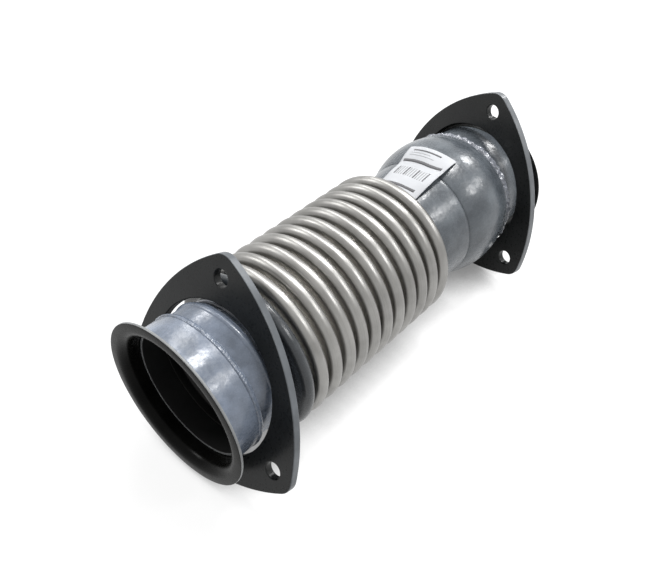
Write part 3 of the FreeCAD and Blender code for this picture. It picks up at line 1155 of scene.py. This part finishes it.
@dataclass
class DomedAdapter:
    """Cuff, seam and dome that join the bellows to the far collar.

    Attributes:
        start: Station of the cuff's near end.
        neck: Outer radius of its neck.
        flare: Station where the cone starts.
        cone_bend: Radius of the cone's slight bow.
        cone_bow: How far the bow stands out at its middle, times 4.
        cone_steps: Stretches of the cone.
        seam: Station of the seam.
        seam_out: Outer radius there.
        seam_width: Width of the seam.
        groove: Depth of the groove that the seam lies in.
        slope: Length of the slope from the groove up to the dome.
        slope_foot: How far that slope's foot lies below the seam's outer radius.
        slope_top: How far its top lies over it.
        shoulder: Station where the dome turns in.
        shoulder_out: Outer radius there.
        mouth: Station of the dome's far edge.
        mouth_in: Inner radius of that edge.
        sheet: Thickness of the steel.
        bend: Radius of the dome's side.
        bend_steps: Stretches of that side.
        curl: Radius of its turned-in edge.
        curl_steps: Stretches of that edge.
    """

    start: float = 226.3
    neck: float = 45.8
    flare: float = 232.7
    cone_bend: float = 150.0
    cone_bow: float = 3.7
    cone_steps: int = 12
    seam: float = 265.5
    seam_out: float = 51.8
    seam_width: float = 1.2
    groove: float = 0.45
    slope: float = 0.3
    slope_foot: float = 0.35
    slope_top: float = 0.05
    shoulder: float = 312.5
    shoulder_out: float = 56.5
    mouth: float = 322.0
    mouth_in: float = 49.8
    sheet: float = 2.0
    bend: float = 60.0
    bend_steps: int = 36
    curl: float = 11.0
    curl_steps: int = 12

    def cuff(self) -> list[Corner]:
        """Draws the cuff's half section.

        Returns:
            Its corners.
        """
        cone_start = Corner(self.flare, self.neck)
        cone_end = Corner(self.seam, self.seam_out, OUTER, 0.35)
        return eased([
            Corner(self.start, self.neck - self.sheet, INNER, 0.3),
            Corner(self.start, self.neck, OUTER, 0.3),
            *bow(cone_start, cone_end, self.cone_bend, -1, self.cone_steps),
            cone_end,
            Corner(self.seam, self.seam_out - self.sheet, INNER),
            Corner(self.flare, self.neck - self.sheet, INNER, 4.0),
        ])

    def bead(self) -> list[Corner]:
        """Draws the seam's half section: a narrow ground bead in a shallow groove.

        Returns:
            Its corners.
        """
        end = self.seam + self.seam_width
        inset = self.groove / 3
        top = self.seam_out - self.groove + inset
        return [
            Corner(self.seam, self.seam_out - self.sheet),
            Corner(self.seam, self.seam_out - self.groove),
            *bow(Corner(self.seam + inset, top), Corner(end - inset, top), self.seam_width / 2, -1, 6),
            Corner(end, self.seam_out - self.groove),
            Corner(end, self.seam_out - self.sheet),
        ]

    def dome(self) -> list[Corner]:
        """Draws the dome's half section, from the seam's groove on.

        Returns:
            Its corners.
        """
        start = self.seam + self.seam_width
        side_start = Corner(start + self.slope, self.seam_out + self.slope_top)
        shoulder = Corner(self.shoulder, self.shoulder_out)
        rim = Corner(self.mouth, self.mouth_in + self.sheet)
        inner_rim = Corner(self.mouth, self.mouth_in, INNER)
        inner_shoulder = Corner(self.shoulder - self.sheet / 2, self.shoulder_out - self.sheet, INNER)
        inner_start = Corner(start, self.seam_out - self.sheet, INNER)
        return [
            Corner(start, self.seam_out - self.slope_foot),
            *bow(side_start, shoulder, self.bend, -1, self.bend_steps),
            *bow(shoulder, rim, self.curl, -1, self.curl_steps),
            rim,
            *bow(inner_rim, inner_shoulder, self.curl - self.sheet, 1, 8),
            *bow(inner_shoulder, inner_start, self.bend - self.sheet, 1, 16),
            inner_start,
        ]

    def reach(self, along: float) -> float:
        """Outer radius of cuff or dome at a station, for what lies on them.

        Args:
            along: The station.

        Returns:
            The radius there.
        """
        if along <= self.flare:
            return self.neck
        if along <= self.seam:
            share = (along - self.flare) / (self.seam - self.flare)
            return self.neck + share * (self.seam_out - self.neck) + self.cone_bow * share * (1.0 - share)
        side = self.dome()[1:1 + self.bend_steps + self.curl_steps]
        for first, second in zip(side, side[1:]):
            if first.along <= along <= second.along:
                share = (along - first.along) / (second.along - first.along)
                return first.out + share * (second.out - first.out)
        return self.seam_out

    def build(self, lathe: Lathe) -> None:
        """Makes the three shells.

        Args:
            lathe: Turns its outlines.
        """
        # The far end's darker paint is painted shade; the insides are near-black painted shade.
        coats = (Coat.ADAPTER, Coat.INSIDE)
        settle(lathe.turned("far_cuff_shell", self.cuff(), coats), Body.FAR, Slot.PIPE, "far_cuff")
        settle(lathe.turned("seam_weld_line", self.bead(), coats[:1]), Body.FAR, Slot.WELD, "seam_weld")
        settle(lathe.turned("far_dome_shell", self.dome(), coats, 192), Body.FAR, Slot.PIPE, "far_dome")


@dataclass
class LooseFlange:
    """Three-cornered plate that rides loosely on the pipe.

    Attributes:
        node: Node that it stands for.
        joint: Joint whose place and axis give its seat.
        body: Body that it rides on.
        turn: Angle of its top corner from straight up, in degrees, positive towards the camera.
        thickness: Thickness of the plate.
        side: Radius of its bowed sides.
        side_reach: Distance from its middle to the middle of a side.
        side_steps: Stretches of a side.
        round: Radius of its corners.
        round_steps: Stretches of a corner.
        hole: Radius of the wide hole.
        hole_steps: Stretches of its edge.
        bolt_circle: Radius of the circle of bolt holes.
        bolt_hole: Radius of a bolt hole.
        bolt_steps: Stretches of its edge.
        bevel: Width of the eased edges.
        hole_wall: How far from the wide hole's edge a face still counts as its wall.
        bolt_wall: The same for a bolt hole.
        level: Least part of a face's normal along the plate's for it to count as flat.
        scuffed: Whether its rim is paler, with scuffs and more painted light.
    """

    node: str
    joint: str
    body: Body
    turn: float
    thickness: float = 6.0
    side: float = 141.0
    side_reach: float = 69.7
    side_steps: int = 40
    round: float = 13.0
    round_steps: int = 14
    hole: float = 55.25
    hole_steps: int = 144
    bolt_circle: float = 73.25
    bolt_hole: float = 6.0
    bolt_steps: int = 48
    bevel: float = 0.7
    hole_wall: float = 3.0
    bolt_wall: float = 2.8
    level: float = 0.9
    scuffed: bool = False

    def facings(self) -> list[float]:
        """The directions of the three corners, in radians."""
        return [math.radians(90 + 120 * number) for number in range(3)]

    def edge(self) -> list[Vector]:
        """The plate's outline, in its own plane.

        The centre of each bowed side lies past the plate's middle, opposite that side. A corner's arc
        meets both sides smoothly, so its centre lies side less round away from theirs.

        Returns:
            The points from the top corner round to the left.
        """
        sixth = math.radians(60)
        centre_out = self.side - self.side_reach
        inner = self.side - self.round
        corner_out = (math.sqrt(4 * inner ** 2 - 3 * centre_out ** 2) - centre_out) / 2
        half = math.asin(centre_out * math.sin(sixth) / inner)
        found = []
        for facing in self.facings():
            corner = spoke(facing) * corner_out
            for step in range(self.round_steps + 1):
                turn = half * (2 * step / self.round_steps - 1)
                found.append(corner + spoke(facing + turn) * self.round)
            middle = facing + sixth
            for step in range(1, self.side_steps):
                turn = (sixth - half) * (2 * step / self.side_steps - 1)
                found.append(spoke(middle + turn) * self.side - spoke(middle) * centre_out)
        return found

    def bolts(self) -> list[Vector]:
        """The middles of the bolt holes, in the plate's plane."""
        return [spoke(facing) * self.bolt_circle for facing in self.facings()]

    def ring(self, middle: Vector, radius: float, steps: int) -> list[Vector]:
        """A round hole's edge, in the plate's plane."""
        return [middle + spoke(FULL_TURN * step / steps) * radius for step in range(steps)]

    def plate(self) -> bpy.types.Mesh:
        """Makes the flat plate with its holes and eased edges.

        Returns:
            Its mesh, level and about its own middle.
        """
        curve = bpy.data.curves.new(self.node + "_outline", "CURVE")
        curve.dimensions = "2D"
        curve.fill_mode = "BOTH"
        curve.extrude = (self.thickness / 2 - self.bevel) * MM
        curve.bevel_depth = self.bevel * MM
        curve.bevel_resolution = 3
        curve.offset = -self.bevel * MM
        loops = [self.edge(), self.ring(Vector((0.0, 0.0)), self.hole, self.hole_steps)]
        loops.extend(self.ring(middle, self.bolt_hole, self.bolt_steps) for middle in self.bolts())
        for loop in loops:
            spline = curve.splines.new("POLY")
            spline.points.add(len(loop) - 1)
            for point, spot in zip(spline.points, loop):
                point.co = (spot.x * MM, spot.y * MM, 0.0, 1.0)
            spline.use_cyclic_u = True
        carrier = placed(self.node + "_carrier", curve)
        graph = bpy.context.evaluated_depsgraph_get()
        mesh = bpy.data.meshes.new_from_object(carrier.evaluated_get(graph))
        mesh.name = self.node + "_plate"
        bpy.data.objects.remove(carrier)
        bpy.data.curves.remove(curve)
        return mesh

    def seat(self) -> Matrix:
        """Reads the plate's place and direction from its joint.

        Returns:
            The placement.
        """
        joint = next(joint for joint in frame["joints"] if joint["name"] == self.joint)
        normal = Vector(joint["axis"]).normalized()
        level = Vector((0.0, 0.0, 1.0)).cross(normal).normalized()
        upright = stood(joint["pos_m"], level, normal.cross(level), normal)
        return upright @ Matrix.Rotation(math.radians(self.turn), 4, "Z")

    def dress(self, mesh: bpy.types.Mesh, seat: Matrix) -> None:
        """Gives the faces and the bolt holes' walls their near-black painted shade, the rim its paler painted
        light and the wide hole's wall the inside's near-black painted shade.

        Args:
            mesh: The plate, already on its seat.
            seat: Its place and direction.
        """
        plate, rim, wall = range(3)
        mesh.materials.clear()
        for coat in (Coat.PLATE, Coat.SCUFFED_LIT_EDGE if self.scuffed else Coat.PLATE_EDGE, Coat.INSIDE):
            mesh.materials.append(coat.value.material())
        normal = seat.to_3x3() @ Vector((0.0, 0.0, 1.0))
        bolts = [seat @ (middle.to_3d() * MM) for middle in self.bolts()]
        # Faces and bolt holes' walls take the near-black painted shade, the wide hole's wall the inside's
        # painted shade, the rest of the rim its paler painted light.
        for face in mesh.polygons:
            face.use_smooth = True
            near_hole = (face.center - seat.translation).length < (self.hole + self.hole_wall) * MM
            bolt_gap = min((face.center - bolt).length for bolt in bolts)
            if abs(face.normal.dot(normal)) > self.level:
                face.material_index = plate
            elif near_hole:
                face.material_index = wall
            else:
                face.material_index = plate if bolt_gap < (self.bolt_hole + self.bolt_wall) * MM else rim

    def build(self) -> None:
        """Makes the flange and sets it on its axis."""
        mesh = self.plate()
        seat = self.seat()
        mesh.transform(seat)
        self.dress(mesh, seat)
        piece = placed(self.node + "_plate", mesh)
        even = piece.modifiers.new("even_shading", "WEIGHTED_NORMAL")
        even.keep_sharp = True
        settle(piece, self.body, Slot.FLANGE, self.node)


@dataclass
class PaperLabel:
    """Label stuck across cuff and dome, its lower edge lifting off.

    Attributes:
        lathe: Gives the place of the pipe.
        adapter: Gives the shape that the label lies on.
        start: Station of its near edge.
        end: Station of its far edge.
        back: Angle of its upper edge from straight up, in degrees, away from the camera.
        front: Angle of its lower edge from straight up at the near end, in degrees, towards the camera.
        front_far: The same at the far end, since it is stuck on a little askew.
        loose: Share of the width that has come off.
        lift: How far the lower edge stands off.
        held: Share of that lift at the two lower corners.
        stiffness: How far the paper bridges hollows, from 0 to 1.
        bridge: How far along the pipe it does so, each way.
        gap: Air under the paper.
        thickness: Thickness of the paper.
        ink: Thickness of the print.
        cells: Steps of the mesh over the whole length or width.
        rows: Plain rows of print: first and last share along, first and last share across.
        bold_row: Least share along of a row in the darker print.
        bar_rows: First and last share along of the bars.
        bar_start: Share across where the bars start.
        bar_span: Share across that they take.
        bar_count: How many plain bars stand side by side.
        bold_every: How many bars on the next bold one comes.
        bold_bar: Width of a bold bar, as a share across.
        thin_bar: Width of a thin bar.
    """

    lathe: Lathe
    adapter: DomedAdapter
    start: float = 232.5
    end: float = 285.0
    back: float = 26.5
    front: float = 18.8
    front_far: float = 17.6
    loose: float = 0.4
    lift: float = 6.0
    held: float = 0.12
    stiffness: float = 0.35
    bridge: float = 4.0
    gap: float = 0.35
    thickness: float = 0.18
    ink: float = 0.02
    cells: int = 44
    rows: tuple[tuple[float, float, float, float], ...] = (
        (0.90, 0.93, 0.14, 0.74),
        (0.85, 0.86, 0.12, 0.55),
        (0.80, 0.81, 0.12, 0.66),
        (0.67, 0.72, 0.06, 0.93),
        (0.10, 0.15, 0.12, 0.86),
    )
    bold_row: float = 0.03
    bar_rows: tuple[float, float] = (0.34, 0.55)
    bar_start: float = 0.12
    bar_span: float = 0.74
    bar_count: int = 13
    bold_every: int = 4
    bold_bar: float = 0.03
    thin_bar: float = 0.016

    def spot(self, along: float, across: float, above: float) -> Vector:
        """A point of the label.

        Args:
            along: Share of the label's length.
            across: Share of its width, from the upper edge down.
            above: Height over the paper.

        Returns:
            The point in metres.
        """
        station = self.start + (self.end - self.start) * along
        front = self.front + (self.front_far - self.front) * along
        turn = math.radians(-self.back + (self.back + front) * across)
        beside = max(self.adapter.reach(station - self.bridge), self.adapter.reach(station + self.bridge))
        bed = self.stiffness * beside + (1.0 - self.stiffness) * self.adapter.reach(station)
        rise = max(across - (1.0 - self.loose), 0.0) / self.loose
        lifted = self.lift * rise ** 2 * (self.held + (1.0 - self.held) * math.sin(along * math.pi))
        return self.lathe.point(station, bed + self.gap + lifted + above, turn)

    def sheet(self, name: str, window: tuple[float, float, float, float], coat: Coat) -> None:
        """Makes a rectangle of paper or print and sets it on the far end.

        Args:
            name: The piece's name.
            window: First and last share along, first and last share across.
            coat: Its finish.
        """
        is_paper = coat is Coat.PAPER
        above = 0.0 if is_paper else self.thickness + self.ink
        low_u, high_u, low_v, high_v = window
        columns = max(int((high_u - low_u) * self.cells), 1)
        rows = max(int((high_v - low_v) * self.cells), 1)
        shape = bmesh.new()
        grid = []
        for column in range(columns + 1):
            along = low_u + (high_u - low_u) * column / columns
            acrosses = [low_v + (high_v - low_v) * row / rows for row in range(rows + 1)]
            grid.append([shape.verts.new(self.spot(along, across, above)) for across in acrosses])
        for here, there in zip(grid, grid[1:]):
            for row in range(rows):
                face = shape.faces.new((here[row], here[row + 1], there[row + 1], there[row]))
                face.smooth = True
        piece = formed(name, shape, [coat.value.material()])
        shell = piece.modifiers.new("paper_thickness", "SOLIDIFY")
        shell.thickness = (self.thickness if is_paper else self.ink) * MM
        shell.offset = 1.0
        settle(piece, Body.FAR, Slot.PIPE)

    def build(self) -> None:
        """Makes the paper with its plain rows and bars."""
        self.sheet("paper_label", (0.0, 1.0, 0.0, 1.0), Coat.PAPER)
        for number, window in enumerate(self.rows, 1):
            bold = window[1] - window[0] > self.bold_row
            self.sheet(f"label_row_{number}", window, Coat.PRINT if bold else Coat.PALE_PRINT)
        for number in range(self.bar_count):
            bold = number % self.bold_every == 0
            across = self.bar_start + self.bar_span * number / self.bar_count
            window = (*self.bar_rows, across, across + (self.bold_bar if bold else self.thin_bar))
            self.sheet(f"label_bar_{number + 1}", window, Coat.PRINT if bold else Coat.PALE_PRINT)


@dataclass
class Studio:
    """Camera, pale floor and soft lights, in metres.

    Attributes:
        lens: Focal length in millimetres for a picture of the width below.
        picture: Width of that picture in millimetres.
        eye: Place of the camera.
        right: Direction of the picture's right side.
        up: Direction of its upper side.
        aim: Place that the lamps face.
        bounce: How pale the floor is to rays that it lights.
        shaded: How pale it is to rays that see it, over its own glow.
        corner_reach: How far from the pipe the painted contact shadow darkens the floor's glow under it.
        room_light: Strength of the room where it only lights.
    """

    lens: float = 38.96
    picture: float = 36.0
    eye: Vector = field(default_factory=lambda: Vector((-0.32976, -0.25026, 0.42882)))
    right: Vector = field(default_factory=lambda: Vector((0.65866, -0.75227, 0.01585)))
    up: Vector = field(default_factory=lambda: Vector((0.50461, 0.45724, 0.73232)))
    aim: Vector = field(default_factory=lambda: Vector((0.0, 0.0, 0.08)))
    bounce: float = 0.6
    shaded: float = 0.22
    corner_reach: float = 0.05
    room_light: float = 0.3

    def camera(self) -> None:
        """Sets up the camera."""
        data = bpy.data.cameras.new("camera")
        data.lens = self.lens
        data.sensor_width = self.picture
        data.clip_start = 0.01
        camera = placed("camera", data)
        right = self.right.normalized()
        back = right.cross(self.up).normalized()
        camera.matrix_world = stood(self.eye, right, back.cross(right), back)
        bpy.context.scene.camera = camera

    def floor(self) -> None:
        """Lays the pale floor, white to the eye and in reflections, with the pipe's shadow from the lamps on
        it and a painted contact shadow in its glow.
        """
        graph = Graph(bpy.data.materials.new("floor_white"))
        seen = graph.seen()
        paint = graph.add("BsdfDiffuse", Color=graph.spread(seen, 0.0, 1.0, self.bounce, self.shaded))
        # Under the pipe the glow is darkened by how closed in the floor is: a painted contact shadow.
        openness = graph.add("AmbientOcclusion", samples=16, Distance=self.corner_reach).outputs["AO"]
        away = graph.add("VectorMath", operation="LENGTH", Vector=graph.place()).outputs["Value"]
        painted_contact_shadow = graph.spread(openness, 0.25, 0.6, at_low=0.25)
        near_shade = graph.spread(away, 0.5, 2.0, at_low=0.87)
        shade = graph.combined("MULTIPLY", painted_contact_shadow, near_shade)
        glow = graph.add("Emission", Color=WHITE, Strength=graph.combined("MULTIPLY", seen, shade))
        both = graph.add("AddShader")
        graph.feed(both.inputs[0], paint.outputs[0])
        graph.feed(both.inputs[1], glow.outputs[0])
        graph.show(both)
        shape = bmesh.new()
        bmesh.ops.create_grid(shape, x_segments=8, y_segments=8, size=6.0)
        formed("floor", shape, [graph.owner])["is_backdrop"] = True

    def sky(self) -> None:
        """Lights the room: white where it is seen or mirrored, dimmer where it only lights."""
        world = bpy.data.worlds.new("studio")
        bpy.context.scene.world = world
        graph = Graph(world, "OutputWorld")
        strength = graph.spread(graph.seen(), 0.0, 1.0, at_low=self.room_light)
        graph.show(graph.add("Background", Color=WHITE, Strength=strength))

    def lamp(self, name: str, place: Sequence[float], size: tuple[float, float], power: float) -> None:
        """Hangs a soft box that faces the pipe.

        Args:
            name: Its name.
            place: Where it hangs.
            size: Its length and width.
            power: Its power in watts.
        """
        data = bpy.data.lights.new(name, "AREA")
        data.shape = "RECTANGLE"
        data.size, data.size_y = size
        data.energy = power
        lamp = placed(name, data)
        lamp.location = place
        lamp.rotation_euler = (self.aim - lamp.location).to_track_quat("-Z", "Y").to_euler()

    def build(self) -> None:
        """Sets up the whole studio."""
        self.camera()
        self.floor()
        self.sky()
        self.lamp("near_overhead", (0.5, -0.08, 1.5), (0.3, 0.34), 15.0)
        self.lamp("far_overhead", (1.75, -0.15, 1.5), (0.34, 0.34), 16.0)
        self.lamp("near_side", (0.75, -1.5, 1.5), (0.4, 0.4), 11.0)
        self.lamp("far_side", (1.6, -1.5, 1.5), (0.4, 0.3), 8.0)
        self.lamp("long_back", (0.6, 0.9, 1.5), (0.3, 1.9), 16.0)
        self.lamp("far_back", (-0.55, 1.8, 1.5), (0.6, 0.6), 16.0)
        view = bpy.context.scene.view_settings
        view.view_transform = "Standard"


def measure(name: str, extents: tuple[Vector, Vector], sizes: dict[str, list[list[float]]]) -> None:
    """Notes a box as plain lists of metres."""
    sizes[name] = [list(corner) for corner in extents]


def main() -> None:
    """Builds the pipe from the near mouth to the far one, then the studio."""
    logging.basicConfig(level=logging.INFO, format="%(message)s")
    sizes: dict[str, list[list[float]]] = {}
    measure("cad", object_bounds(), sizes)
    lathe = Lathe()
    adapter = DomedAdapter()
    FlaredCollar("near_collar", Body.NEAR, mouth=0.0, facing=1, outside=52.0, length=26.3).build(lathe)
    WeldBead("near_weld", Body.NEAR, station=26.3, facing=1, foot=49.7, height=2.7, leg=4.2, pitch=2.2,
             lump=0.45, seed=1.0, lap=0.8, painted=True).build(lathe)
    NearTube().build(lathe)
    WeldBead("near_skirt_weld", Body.NEAR, station=54.8, facing=-1, foot=45.8, height=1.5, leg=2.4,
             pitch=2.0, lump=0.12, seed=2.0).build(lathe)
    Bellows().build(lathe)
    FlowLiner().build(lathe)
    WeldBead("far_skirt_weld", Body.FAR, station=229.8, facing=1, foot=45.8, height=1.5, leg=2.4,
             pitch=2.0, lump=0.12, seed=3.0).build(lathe)
    adapter.build(lathe)
    WeldBead("far_weld", Body.FAR, station=320.2, facing=1, foot=49.5, height=4.6, leg=8.6, pitch=7.0,
             lump=1.8, seed=4.0, lap=1.2, blobs=0.16, crumbs=0.7).build(lathe)
    FlaredCollar("far_collar", Body.FAR, mouth=360.0, facing=-1, outside=49.5, length=46.0,
                 dark=True).build(lathe)
    LooseFlange("near_flange", "near_flange_turn", Body.NEAR_FLANGE, turn=-6.0).build()
    LooseFlange("far_flange", "far_flange_turn", Body.FAR_FLANGE, turn=5.0, scuffed=True).build()
    PaperLabel(lathe, adapter).build()
    Studio().build()
    measure("scene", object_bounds(), sizes)


if __name__ == "__main__":
    main()
